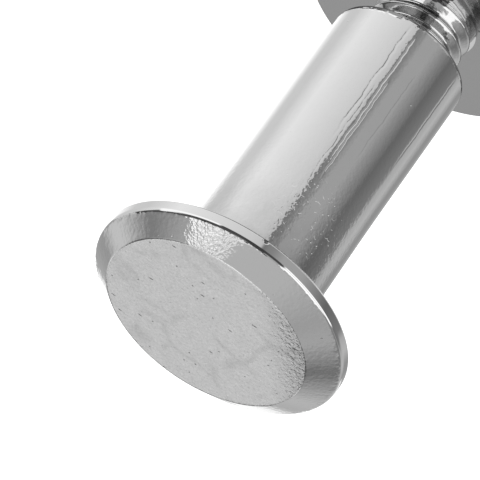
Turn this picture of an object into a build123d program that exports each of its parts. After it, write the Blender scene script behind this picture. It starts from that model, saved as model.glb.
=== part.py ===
"""Binding barrel screw, 5 x 12 mm: a blind barrel with a bevelled head, and the screw that threads into it.

Millimetres. +Z is the common axis. The screw stands on the flat of its head at z = 0. The barrel hangs
over the screw's shank with its own head uppermost, and is backed out a little from the closed position.
"""

import os
from math import radians, tan

from build123d import *

# ---- both heads: flat, bevel, rim
head_diameter = 9.5
head_flat_diameter = 7.6
head_bevel_height = 0.62
head_rim_height = 0.48
head_crown_radius = 0.12
head_bevel_radius = 0.1
head_rim_chamfer = 0.08

# ---- barrel: outside, and the blind hole for the screw
barrel_diameter = 5.0
barrel_length = 12.0
barrel_root_chamfer = 0.1
barrel_lip_chamfer = 0.1
bore_depth = 10.2
bore_countersink = 0.15
bore_clearance = 0.05
drill_point_angle = 118.0

# ---- screw: M3.5 x 0.6 shank, threaded right up to the head
thread_diameter = 3.5
thread_pitch = 0.6
thread_angle = 60.0
shank_length = 9.0
shank_flare_diameter = 3.62
shank_flare_height = 0.06
shank_tip_chamfer = 0.15
bare_tip = 0.25

# ---- cross recess in the screw's head
recess_span = 3.2
recess_depth = 1.4
recess_wing_width = 0.72
recess_wing_slope = 26.5
recess_core_diameter = 1.9
recess_core_slope = 20.0

# ---- how far the barrel is backed out: its mouth to the underside of the screw's head
open_gap = 2.1

# ---- worked out from the sizes above
flat_radius = head_flat_diameter / 2
head_radius = head_diameter / 2
head_height = head_bevel_height + head_rim_height
barrel_radius = barrel_diameter / 2
crest_radius = thread_diameter / 2
bore_radius = crest_radius + bore_clearance
drill_point_height = bore_radius / tan(radians(drill_point_angle / 2))

screw_underside = head_height
shank_tip = screw_underside + shank_length
mouth = screw_underside + open_gap
barrel_underside = mouth + barrel_length
barrel_top = barrel_underside + head_height

# an external thread is an eighth of a pitch wide at its crest and leaves a quarter of one at its root
flank_slope = tan(radians(thread_angle / 2))
crest_width = thread_pitch / 8
root_width = thread_pitch / 4
thread_depth = (thread_pitch - crest_width - root_width) / 2 / flank_slope
root_radius = crest_radius - thread_depth
thread_foot = thread_depth / 20  # how deep the ridge is let into the shank it stands on


def circles_at(part, z, radius):
    """The circular edges of the part with this height and radius."""
    return [
        edge
        for edge in part.edges().filter_by(GeomType.CIRCLE)
        if abs(edge.arc_center.Z - z) < 1e-4 and abs(edge.radius - radius) < 1e-4
    ]


def break_edges(part, flat, bevel_edge, underside):
    """Softens a head's three outer edges: both ends of its bevel are rounded, and its rim is chamfered."""
    fillet(circles_at(part, bevel_edge, head_radius), head_bevel_radius)
    fillet(circles_at(part, flat, flat_radius), head_crown_radius)
    chamfer(circles_at(part, underside, head_radius), head_rim_chamfer)


# ---- barrel: head and sleeve in one, then drilled blind from the mouth
with BuildPart() as barrel:
    with BuildSketch(Plane.XZ):
        with BuildLine():
            Polyline(
                (0, barrel_top),
                (flat_radius, barrel_top),
                (head_radius, barrel_top - head_bevel_height),
                (head_radius, barrel_underside),
                (barrel_radius, barrel_underside),
                (barrel_radius, mouth),
                (0, mouth),
                close=True,
            )
        make_face()
    revolve(axis=Axis.Z)
    break_edges(barrel, barrel_top, barrel_top - head_bevel_height, barrel_underside)
    chamfer(circles_at(barrel, barrel_underside, barrel_radius), barrel_root_chamfer)
    chamfer(circles_at(barrel, mouth, barrel_radius), barrel_lip_chamfer)

    with BuildSketch(Plane.XZ):
        with BuildLine():
            Polyline(
                (0, mouth),
                (bore_radius + bore_countersink, mouth),
                (bore_radius, mouth + bore_countersink),
                (bore_radius, mouth + bore_depth),
                (0, mouth + bore_depth + drill_point_height),
                close=True,
            )
        make_face()
    revolve(axis=Axis.Z, mode=Mode.SUBTRACT)
barrel.part.label = "barrel"


# ---- the screw's thread on its own: one ridge wound up a helix, then turned down to nothing near the tip
thread_start = screw_underside + thread_pitch / 2
thread_end = shank_tip - bare_tip
foot_radius = root_radius - thread_foot
half_crest = crest_width / 2
half_foot = half_crest + (thread_depth + thread_foot) * flank_slope

with BuildPart() as thread:
    with BuildLine():
        Helix(thread_pitch, shank_tip - thread_start + thread_pitch, root_radius, center=(0, 0, thread_start))
    with BuildSketch(Plane.XZ):
        with BuildLine():
            Polyline(
                (crest_radius, thread_start - half_crest),
                (crest_radius, thread_start + half_crest),
                (foot_radius, thread_start + half_foot),
                (foot_radius, thread_start - half_foot),
                close=True,
            )
        make_face()
    sweep(is_frenet=True)

    with BuildSketch(Plane.XZ):
        with BuildLine():
            Polyline(
                (0, thread_end + root_radius),
                (root_radius + thread_pitch, thread_end - thread_pitch),
                (root_radius + thread_pitch, thread_end + 3 * thread_pitch),
                (0, thread_end + 3 * thread_pitch),
                close=True,
            )
        make_face()
    revolve(axis=Axis.Z, mode=Mode.SUBTRACT)


# ---- screw: head and bare shank, cross recess, and the thread on the shank
with BuildPart() as screw:
    with BuildSketch(Plane.XZ):
        with BuildLine():
            Polyline(
                (0, 0),
                (flat_radius, 0),
                (head_radius, head_bevel_height),
                (head_radius, screw_underside),
                (shank_flare_diameter / 2, screw_underside),
                (root_radius, screw_underside + shank_flare_height),
                (root_radius, shank_tip - shank_tip_chamfer),
                (root_radius - shank_tip_chamfer, shank_tip),
                (0, shank_tip),
                close=True,
            )
        make_face()
    revolve(axis=Axis.Z)
    break_edges(screw, 0, head_bevel_height, screw_underside)

    # two crossed wings, whose ends lean in towards the point of the driver, and the cone between them
    wing_top = recess_span / 2
    wing_bottom = wing_top - recess_depth * tan(radians(recess_wing_slope))
    core_top = recess_core_diameter / 2
    core_bottom = core_top - recess_depth * tan(radians(recess_core_slope))
    for plane in (Plane.XZ, Plane.YZ):
        with BuildSketch(plane):
            with BuildLine():
                Polyline(
                    (-wing_top, 0),
                    (wing_top, 0),
                    (wing_bottom, recess_depth),
                    (-wing_bottom, recess_depth),
                    close=True,
                )
            make_face()
        extrude(amount=recess_wing_width / 2, both=True, mode=Mode.SUBTRACT)
    Cone(
        core_top,
        core_bottom,
        recess_depth,
        align=(Align.CENTER, Align.CENTER, Align.MIN),
        mode=Mode.SUBTRACT,
    )

    add(thread.part, rotation=(0, 0, 180))
screw.part.label = "screw"


os.makedirs("parts", exist_ok=True)
for built in (barrel, screw):
    export_step(built.part, f"parts/{built.part.label}.step")
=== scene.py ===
"""Binding barrel screw, plated: the visual model of the fastener, on a pale table in a soft-lit studio.

The frame is the part's own: +Z up the common axis, the screw standing on the flat of its head at z = 0.
Sizes of the fastener are in millimetres, as a maker's drawing gives them. Meshes and the scene are in
metres.
"""

import logging
import math
from dataclasses import dataclass
from enum import Enum
from typing import Callable, Sequence

import bmesh
import bpy
from mathutils import Matrix, Vector


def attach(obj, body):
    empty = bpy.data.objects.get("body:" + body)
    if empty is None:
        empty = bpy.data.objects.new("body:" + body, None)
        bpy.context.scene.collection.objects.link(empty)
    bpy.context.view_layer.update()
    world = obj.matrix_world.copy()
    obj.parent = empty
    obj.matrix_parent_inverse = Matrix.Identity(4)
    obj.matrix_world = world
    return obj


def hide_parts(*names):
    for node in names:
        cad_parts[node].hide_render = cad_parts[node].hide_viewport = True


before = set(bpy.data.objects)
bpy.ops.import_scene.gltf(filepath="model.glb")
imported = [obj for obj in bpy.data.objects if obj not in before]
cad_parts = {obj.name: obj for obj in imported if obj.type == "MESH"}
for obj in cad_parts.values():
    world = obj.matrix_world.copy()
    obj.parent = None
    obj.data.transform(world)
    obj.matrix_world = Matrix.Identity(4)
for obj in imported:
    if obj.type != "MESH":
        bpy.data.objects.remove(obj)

MM = 0.001

# The kinds of node that are used all through, with the order of their sockets where it is relied on.
MATH = "ShaderNodeMath"  # the numbers, in order
RANGE = "ShaderNodeMapRange"  # value, from min, from max, to min, to max
MIX = "ShaderNodeMix"  # 0 share, 2 and 3 two numbers, 6 and 7 two colours
VECTOR = "ShaderNodeVectorMath"  # the vectors, in order
SPLIT_XYZ = "ShaderNodeSeparateXYZ"
MAPPING = "ShaderNodeMapping"
NOISE = "ShaderNodeTexNoise"
VORONOI = "ShaderNodeTexVoronoi"

# The setting that makes a Map Range ease in and out.
SMOOTH = {"interpolation_type": "SMOOTHSTEP"}

# What a pattern hands on: an output socket, or a node that stands for its first output.
Source = bpy.types.Node | bpy.types.NodeSocket

log = logging.getLogger("binding_screw")


# ---------------------------------------------------------------- small helpers


def linear(hex_colour: str) -> tuple[float, float, float, float]:
    """Turns an sRGB hex value into a linear colour.

    Args:
        hex_colour: Six hex digits, such as "c8c8c6".

    Returns:
        Linear red, green, blue and an alpha of one.
    """
    channels = (int(hex_colour[i : i + 2], 16) / 255 for i in (0, 2, 4))
    red, green, blue = (c / 12.92 if c <= 0.04045 else ((c + 0.055) / 1.055) ** 2.4 for c in channels)
    return red, green, blue, 1.0


def add_node(
    tree: bpy.types.NodeTree,
    kind: str,
    inputs: Sequence[object] | dict[str | int, object] = (),
    **settings: object,
) -> bpy.types.Node:
    """Adds a node, sets its properties, and fills or links its inputs.

    Args:
        tree: The node tree that gets the node.
        kind: The node's type name.
        inputs: Values in the order of the sockets, or socket name or number to value. An output socket is
            linked, and so is the first output of a node that is given as a value.
        **settings: Properties of the node itself.

    Returns:
        The new node.
    """
    node = tree.nodes.new(kind)
    for name, value in settings.items():
        setattr(node, name, value)
    for key, value in inputs.items() if isinstance(inputs, dict) else enumerate(inputs):
        if isinstance(value, bpy.types.Node):
            value = value.outputs[0]
        if isinstance(value, bpy.types.NodeSocket):
            tree.links.new(value, node.inputs[key])
        else:
            node.inputs[key].default_value = value
    return node


def stacked(tree: bpy.types.NodeTree, layers: Sequence[Source]) -> Source:
    """Adds up layers of relief or of shade.

    Args:
        tree: The node tree.
        layers: Heights or shares, in the order in which they are added.

    Returns:
        Their sum.
    """
    total, *others = layers
    for layer in others:
        total = add_node(tree, MATH, (total, layer), operation="ADD")
    return total


def distance_to(tree: bpy.types.NodeTree, value: Source, middle: float) -> Source:
    """Builds how far a value is from a middle, either way."""
    off = add_node(tree, MATH, (value, middle), operation="SUBTRACT")
    return add_node(tree, MATH, (off,), operation="ABSOLUTE")


def angle_round_z(tree: bpy.types.NodeTree, parts: Sequence[Source]) -> Source:
    """Builds the angle of a point or direction about Z, in radians from -Y towards +X."""
    forward = add_node(tree, MATH, (parts[1], -1.0), operation="MULTIPLY")
    return add_node(tree, MATH, (parts[0], forward), operation="ARCTAN2")


def new_object(name: str, data: bpy.types.ID) -> bpy.types.Object:
    """Makes an object at the origin and links it into the scene.

    Args:
        name: The object's name.
        data: Its mesh, lamp or camera.

    Returns:
        The object.
    """
    made = bpy.data.objects.new(name, data)
    bpy.context.scene.collection.objects.link(made)
    return made


# How far beyond an arc its supporting point lies: a share of the arc's radius, and at most so many
# millimetres.
SUPPORT_SHARE = 0.2
MOST_SUPPORT = 0.1


@dataclass(frozen=True)
class Corner:
    """A corner of a turned profile, in millimetres, with the radius that rounds it."""

    radius: float
    height: float
    rounding: float = 0.0


def turned_profile(corners: Sequence[Corner], steps: int = 8) -> list[tuple[float, float]]:
    """Rounds the corners of a profile with tangent arcs.

    Each arc has one more point just beyond either end, so that the straight runs beside it stay straight in
    a mirror finish.

    Args:
        corners: The profile's corners in order.
        steps: Segments in each arc.

    Returns:
        Points (radius, height) in millimetres.
    """
    points: list[tuple[float, float]] = []
    for before, corner, after in zip([None, *corners[:-1]], corners, [*corners[1:], None]):
        here = Vector((corner.radius, corner.height))
        if not corner.rounding or before is None or after is None:
            points.append(tuple(here))
            continue
        back = (Vector((before.radius, before.height)) - here).normalized()
        ahead = (Vector((after.radius, after.height)) - here).normalized()
        half = back.angle(ahead) / 2
        centre = here + (back + ahead).normalized() * corner.rounding / math.sin(half)
        start = here + back * corner.rounding / math.tan(half) - centre
        sweep = math.pi - 2 * half
        side = math.copysign(1.0, back.x * ahead.y - back.y * ahead.x)
        beyond = min(corner.rounding * SUPPORT_SHARE, MOST_SUPPORT)
        points.append(tuple(centre + start + back * beyond))
        for i in range(steps + 1):
            turn = -side * sweep * i / steps
            x = start.x * math.cos(turn) - start.y * math.sin(turn)
            y = start.x * math.sin(turn) + start.y * math.cos(turn)
            points.append((centre.x + x, centre.y + y))
        points.append(tuple(Vector(points[-1]) + ahead * beyond))
    return points


def turned_mesh(
    name: str,
    profiles: Sequence[Sequence[tuple[float, float]]],
    segments: int,
    warp: Callable[[Vector], Vector] | None = None,
) -> bpy.types.Mesh:
    """Turns one or more profiles about Z into a mesh, one ring of points for each point off the axis.

    A profile that starts on the outside's top and runs down, and then up inside a hole, gives faces that
    point outwards. Where it starts or ends on the axis, that end is closed: by one flat face if the ring
    beside it is at the same height, and by a cone if not.

    Args:
        name: The mesh's name.
        profiles: Lists of points (radius, height) in millimetres.
        segments: Faces round the axis.
        warp: Moves each point, in millimetres, for a form that isn't quite round.

    Returns:
        The mesh, in metres.
    """
    built = bmesh.new()

    def vertex(radius: float, height: float, angle: float) -> bmesh.types.BMVert:
        """Adds the point at this radius, height and angle."""
        point = Vector((radius * math.cos(angle), radius * math.sin(angle), height))
        return built.verts.new((warp(point) if warp else point) * MM)

    for profile in profiles:
        around = [math.tau * i / segments for i in range(segments)]
        rings = [[vertex(r, z, a) for a in around] for r, z in profile if r > 0]
        for upper, lower in zip(rings, rings[1:]):
            for i in range(segments):
                j = (i + 1) % segments
                built.faces.new((upper[i], lower[i], lower[j], upper[j]))
        for end, beside, ring, flip in ((0, 1, rings[0], False), (-1, -2, rings[-1], True)):
            if profile[end][0] > 0:
                continue
            if profile[end][1] == profile[beside][1]:
                built.faces.new(ring[::-1] if flip else ring)
                continue
            apex = vertex(0, profile[end][1], 0)
            for i in range(segments):
                edge = (ring[i], ring[(i + 1) % segments])
                built.faces.new((apex, *edge[::-1]) if flip else (apex, *edge))
    mesh = bpy.data.meshes.new(name)
    built.to_mesh(mesh)
    built.free()
    return mesh


# ---------------------------------------------------------------- the thread, as a node tree


class Side(Enum):
    """Which side of a threaded surface is open air."""

    OUTSIDE = True
    INSIDE = False


@dataclass(frozen=True)
class Thread:
    """A right-hand thread on a plain shank or in a plain bore. Lengths are in millimetres.

    The tree makes a grid whose rows follow the helix, so that crests and roots stay crisp all the way
    round, raises it to the thread's form, and fades it to the plain surface at both ends.
    """

    plain_radius: float
    ridge_radius: float
    start: float
    end: float
    start_fade: float
    end_fade: float
    side: Side
    columns: int
    seat: float = 1.1
    pitch: float = 0.6
    crest_share: float = 0.06
    root_share: float = 0.14
    rows_per_pitch: int = 16
    weld: float = 0.0005

    def sizes(self) -> dict[str, float | int | bool]:
        """Works out what the node tree is given.

        Returns:
            The name of each input with its value. The start angle is that of the first column, and brings
            a crest over +X at the height of the seat.
        """
        turns = math.ceil((self.end - self.start) / self.pitch + 1)
        return {
            "Plain Radius": self.plain_radius,
            "Ridge Radius": self.ridge_radius,
            "Start": self.start,
            "End": self.end,
            "Start Fade": self.start_fade,
            "End Fade": self.end_fade,
            "Pitch": self.pitch,
            "Crest Share": self.crest_share,
            "Root Share": self.root_share,
            "Start Angle": math.tau * ((self.start - self.seat) / self.pitch - 0.5),
            "Turns": float(turns),
            "Rows": turns * self.rows_per_pitch + 1,
            "Columns": self.columns + 1,
            "Outside": self.side.value,
        }

    def build_tree(self) -> bpy.types.GeometryNodeTree:
        """Builds the node tree, with a named input for each size.

        Returns:
            A Geometry Nodes tree that adds the thread to the mesh it is given and sets one material.
        """
        tree = bpy.data.node_groups.new("thread_winder", "GeometryNodeTree")
        face = tree.interface
        socket_types = {float: "NodeSocketFloat", int: "NodeSocketInt", bool: "NodeSocketBool"}
        face.new_socket("Blank", in_out="INPUT", socket_type="NodeSocketGeometry")
        for title, size in self.sizes().items():
            face.new_socket(title, in_out="INPUT", socket_type=socket_types[type(size)])
        face.new_socket("Finish", in_out="INPUT", socket_type="NodeSocketMaterial")
        face.new_socket("Threaded", in_out="OUTPUT", socket_type="NodeSocketGeometry")
        given = add_node(tree, "NodeGroupInput").outputs
        start, end, plain = given["Start"], given["End"], given["Plain Radius"]

        # the grid is one by one about the origin, so X and Y plus a half are shares of its length and width
        grid = add_node(tree, "GeometryNodeMeshGrid", (1.0, 1.0, given["Rows"], given["Columns"]))
        place = add_node(tree, SPLIT_XYZ, (add_node(tree, "GeometryNodeInputPosition"),)).outputs
        along = add_node(tree, MATH, (place[0], 0.5), operation="ADD")
        round_share = add_node(tree, MATH, (place[1], 0.5), operation="ADD")
        turn = add_node(tree, MATH, (along, given["Turns"]), operation="MULTIPLY")

        # height: each column is lifted by its share of a turn, and rows past either end are gathered there
        wound = add_node(tree, MATH, (turn, round_share), operation="ADD")
        wound = add_node(tree, MATH, (wound, 1.0), operation="SUBTRACT")
        height = add_node(tree, MATH, (wound, given["Pitch"], start), operation="MULTIPLY_ADD")
        height = add_node(tree, MATH, (height, start), operation="MAXIMUM")
        height = add_node(tree, MATH, (height, end), operation="MINIMUM")

        # form: the share runs from 0 amid a crest to 1 amid a root, and the ridge falls in straight flanks
        share = add_node(tree, MATH, (turn,), operation="FRACT")
        share = distance_to(tree, share, 0.5)
        share = add_node(tree, MATH, (share, 2.0), operation="MULTIPLY")
        foot = add_node(tree, MATH, (1.0, given["Root Share"]), operation="SUBTRACT")
        form = add_node(tree, RANGE, (share, foot, given["Crest Share"]))

        # ends: the ridge rises out of the plain surface over each fade
        from_start = add_node(tree, MATH, (height, start), operation="SUBTRACT")
        to_end = add_node(tree, MATH, (end, height), operation="SUBTRACT")
        for distance, fade in ((from_start, "Start Fade"), (to_end, "End Fade")):
            reach = add_node(tree, RANGE, (distance, 0.0, given[fade]), **SMOOTH)
            form = add_node(tree, MATH, (form, reach), operation="MULTIPLY")
        depth = add_node(tree, MATH, (given["Ridge Radius"], plain), operation="SUBTRACT")
        radius = add_node(tree, MATH, (form, depth, plain), operation="MULTIPLY_ADD")

        first = given["Start Angle"]
        angle = add_node(tree, MATH, (round_share, math.tau, first), operation="MULTIPLY_ADD")
        across = []
        for operation in ("COSINE", "SINE"):
            unit = add_node(tree, MATH, (angle,), operation=operation)
            across.append(add_node(tree, MATH, (unit, radius), operation="MULTIPLY"))
        spot = add_node(tree, "ShaderNodeCombineXYZ", (*across, height))
        metres = add_node(tree, VECTOR, {0: spot, "Scale": MM}, operation="SCALE")

        sleeve = add_node(tree, "GeometryNodeSetPosition", {"Geometry": grid, "Position": metres})
        facing = add_node(tree, "GeometryNodeFlipFaces", (sleeve, given["Outside"]))
        joined = add_node(tree, "GeometryNodeJoinGeometry", (given["Blank"],))
        tree.links.new(facing.outputs[0], joined.inputs[0])
        welded = add_node(
            tree, "GeometryNodeMergeByDistance", {"Geometry": joined, "Distance": self.weld * MM}
        )
        real = add_node(tree, "GeometryNodeRealizeInstances", (welded,))
        dressed = add_node(
            tree, "GeometryNodeSetMaterial", {"Geometry": real, "Material": given["Finish"]}
        )
        add_node(tree, "NodeGroupOutput", (dressed,))
        return tree

    def wind(self, blank: bpy.types.Object, finish: bpy.types.Material) -> bpy.types.Mesh:
        """Adds this thread to a blank.

        Args:
            blank: The turned blank, open where the thread goes. Its modifiers are removed again.
            finish: The material that the whole result gets.

        Returns:
            The threaded mesh, in metres.
        """
        tree = self.build_tree()
        values = self.sizes() | {"Finish": finish}
        winder = blank.modifiers.new("thread", "NODES")
        winder.node_group = tree
        for socket in tree.interface.items_tree:
            if socket.name in values:
                winder[socket.identifier] = values[socket.name]
        mesh = plain_mesh(blank)
        blank.modifiers.remove(winder)
        return mesh


def plain_mesh(piece: bpy.types.Object) -> bpy.types.Mesh:
    """Makes a plain mesh of what a piece's modifiers result in."""
    depsgraph = bpy.context.evaluated_depsgraph_get()
    return bpy.data.meshes.new_from_object(piece.evaluated_get(depsgraph), depsgraph=depsgraph)


def make_plain(piece: bpy.types.Object) -> None:
    """Turns a piece with modifiers into a plain mesh, and removes the modifiers."""
    piece.data = plain_mesh(piece)
    piece.modifiers.clear()


# ---------------------------------------------------------------- finishes


class Region(Enum):
    """The surfaces of a fastener that were finished differently."""

    SIDE = 0
    FLAT = 1
    BEVEL = 2
    THREAD = 3
    SEAT = 4
    BORE = 5
    RIM = 6


@dataclass(frozen=True)
class Peel:
    """Low humps all over a surface: the size of one hump and the humps' height, in millimetres."""

    grain: float
    height: float

    def build(self, tree: bpy.types.NodeTree, place: Source) -> Source:
        """Builds the humps.

        Args:
            tree: The material's node tree.
            place: The point on the piece, in millimetres.

        Returns:
            The height in millimetres, about zero.
        """
        waves = add_node(tree, NOISE, {"Vector": place, "Scale": 1 / self.grain, "Detail": 1.5})
        middle = add_node(tree, MATH, (waves, 0.5), operation="SUBTRACT")
        return add_node(tree, MATH, (middle, 2 * self.height), operation="MULTIPLY")


@dataclass(frozen=True)
class Pits:
    """Small round dents at some of the points of a loose grid, in millimetres, and the share that has one.

    The grid of a flat is level, so that each of its points makes a dent, and not only those that lie in the
    flat.
    """

    spacing: float
    share: float
    radius: float
    depth: float
    level: bool = False

    def build(self, tree: bpy.types.NodeTree, place: Source) -> Source:
        """Builds the dents.

        Args:
            tree: The material's node tree.
            place: The point on the piece, in millimetres.

        Returns:
            The height in millimetres, never above zero.
        """
        cells = add_node(
            tree,
            VORONOI,
            {"Vector": place, "Scale": 1 / self.spacing},
            voronoi_dimensions="2D" if self.level else "3D",
        )
        dent = add_node(tree, RANGE, (cells, self.radius / self.spacing, 0.0, 0.0, -self.depth), **SMOOTH)
        lot = add_node(tree, "ShaderNodeSeparateColor", (cells.outputs["Color"],))
        drawn = add_node(tree, MATH, (lot, self.share), operation="LESS_THAN")
        return add_node(tree, MATH, (dent, drawn), operation="MULTIPLY")


@dataclass(frozen=True)
class Groove:
    """A draw line along a barrel, which wanders a little on its way.

    Its angle is from -Y towards +X. Its ends, its section and the lengths over which it fades in and out
    are in millimetres.
    """

    angle_deg: float
    bottom: float
    top: float
    width: float
    depth: float
    wander_deg: float = 3.2
    bends_per_mm: float = 1.1
    fade_in: float = 0.6
    fade_out: float = 1.6

    def build(self, tree: bpy.types.NodeTree, angle: Source, rise: Source, radius: float) -> Source:
        """Builds the line.

        Args:
            tree: The material's node tree.
            angle: The angle from -Y towards +X, in radians.
            rise: The height on the piece, in millimetres.
            radius: The barrel's radius, in millimetres.

        Returns:
            The height in millimetres, never above zero.
        """
        along = add_node(tree, MATH, (rise, self.angle_deg), operation="ADD")
        wander = add_node(
            tree,
            NOISE,
            {"W": along, "Scale": self.bends_per_mm, "Detail": 3.0, "Roughness": 0.6},
            noise_dimensions="1D",
        )
        least = -math.radians(self.angle_deg + self.wander_deg / 2)
        off = add_node(tree, MATH, (wander, math.radians(self.wander_deg), least), operation="MULTIPLY_ADD")
        off = add_node(tree, MATH, (angle, off), operation="ADD")
        off = add_node(tree, MATH, (off, radius / self.width), operation="MULTIPLY")
        section = add_node(tree, MATH, (off, off), operation="MULTIPLY")
        section = add_node(tree, MATH, (section, -1.0), operation="MULTIPLY")
        section = add_node(tree, MATH, (section,), operation="EXPONENT")
        for end, inside in ((self.bottom, self.fade_in), (self.top, -self.fade_out)):
            run = add_node(tree, RANGE, (rise, end, end + inside), **SMOOTH)
            section = add_node(tree, MATH, (section, run), operation="MULTIPLY")
        return add_node(tree, MATH, (section, -self.depth), operation="MULTIPLY")


@dataclass(frozen=True)
class RollingArcs:
    """Short curved scratches, as the rims of other barrels leave when they roll over this one.

    They are pieces of circles on a loose grid, broken where a noise is low. Lengths are in millimetres.
    """

    spacing: float = 0.5
    radius: float = 0.21
    half_width: float = 0.0175
    depth: float = 0.0028
    run: float = 0.2
    breaks: tuple[float, float] = (0.58, 0.64)

    def build(self, tree: bpy.types.NodeTree, place: Source) -> Source:
        """Builds the scratches.

        Args:
            tree: The material's node tree.
            place: The point on the piece, in millimetres.

        Returns:
            The height in millimetres, never above zero.
        """
        cells = add_node(tree, VORONOI, {"Vector": place, "Scale": 1 / self.spacing})
        off = distance_to(tree, cells, self.radius / self.spacing)
        edge = self.half_width / self.spacing
        line = add_node(tree, RANGE, (off, 0.0, edge, -self.depth, 0.0), **SMOOTH)
        broken = add_node(tree, NOISE, {"Vector": place, "Scale": 1 / self.run, "Detail": 0.0})
        broken = add_node(tree, RANGE, (broken, *self.breaks))
        return add_node(tree, MATH, (line, broken), operation="MULTIPLY")


@dataclass(frozen=True)
class Burr:
    """The faint ragged ridge that the parting tool turned up round a mouth, heavier on the +X side.

    Lengths are in millimetres. The breaks are the levels of noise between which the ridge is torn down to
    its least share, and the side is where along X it goes from its share off the heavy side to the whole.
    """

    middle: float = 3.42
    half_width: float = 0.07
    rise: float = 0.018
    grain: float = 0.25
    breaks: tuple[float, float] = (0.4, 0.6)
    least: float = 0.1
    side: tuple[float, float] = (-0.2, 0.5)
    off_side: float = 0.25

    def build(self, tree: bpy.types.NodeTree, place: Source, part: Sequence[Source]) -> Source:
        """Builds the ridge.

        Args:
            tree: The material's node tree.
            place: The point on the piece, in millimetres.
            part: The point's X, Y and Z.

        Returns:
            The height in millimetres, never below zero.
        """
        off = distance_to(tree, part[2], self.middle)
        ridge = add_node(tree, RANGE, (off, self.half_width, 0.0, 0.0, self.rise), **SMOOTH)
        ragged = add_node(tree, NOISE, {"Vector": place, "Scale": 1 / self.grain, "Detail": 2.0})
        ragged = add_node(tree, RANGE, (ragged, *self.breaks, self.least))
        ridge = add_node(tree, MATH, (ridge, ragged), operation="MULTIPLY")
        heavy = add_node(tree, RANGE, (part[0], *self.side, self.off_side))
        return add_node(tree, MATH, (ridge, heavy), operation="MULTIPLY")


@dataclass(frozen=True)
class NickelPlate:
    """Bright nickel plate: electroplated over steel, which gives a neutral grey-white mirror.

    Plate follows the metal under it, so each subclass says how that metal was made and draws its relief.
    Patterns are laid out in millimetres, so the scale of each is its humps or cells per millimetre.
    """

    name: str = "bright_nickel_plate"
    colour: str = "dedede"
    # the darker colour that painted shade, and on the flat also tone, mixes in
    tone_and_painted_shade: str = "303030"
    roughness: float = 0.06
    peel: Peel = Peel(grain=0.35, height=0.0003)

    def relief(self, tree: bpy.types.NodeTree, place: Source) -> Source:
        """Builds the height of the surface from the point on the piece; both are in millimetres."""
        return self.peel.build(tree, place)

    def shade(self, tree: bpy.types.NodeTree, place: Source) -> Source | None:
        """Builds the share of the darker colour, which paints shade, and on the flat also tone, on a finish
        that isn't the same all over.
        """
        return None

    def build(self) -> bpy.types.Material:
        """Makes the material.

        Returns:
            A metallic material whose patterns are laid out in millimetres on Object coordinates.
        """
        made = bpy.data.materials.new(self.name)
        made.use_nodes = True
        tree = made.node_tree
        tree.nodes.clear()
        where = add_node(tree, "ShaderNodeTexCoord").outputs["Object"]
        place = add_node(tree, VECTOR, {0: where, "Scale": 1 / MM}, operation="SCALE")
        shader = add_node(
            tree,
            "ShaderNodeBsdfPrincipled",
            {"Base Color": linear(self.colour), "Metallic": 1.0, "Roughness": self.roughness},
        )
        bump = add_node(
            tree, "ShaderNodeBump", {"Height": self.relief(tree, place), "Strength": 1.0, "Distance": MM}
        )
        tree.links.new(bump.outputs[0], shader.inputs["Normal"])
        shade = self.shade(tree, place)
        # mixes in the darker colour: painted shade, and on the flat also tone
        if shade is not None:
            colours = {0: shade, 6: linear(self.colour), 7: linear(self.tone_and_painted_shade)}
            tint = add_node(tree, MIX, colours, data_type="RGBA")
            tree.links.new(tint.outputs[2], shader.inputs["Base Color"])
        add_node(tree, "ShaderNodeOutputMaterial", (shader,))
        return made


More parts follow.
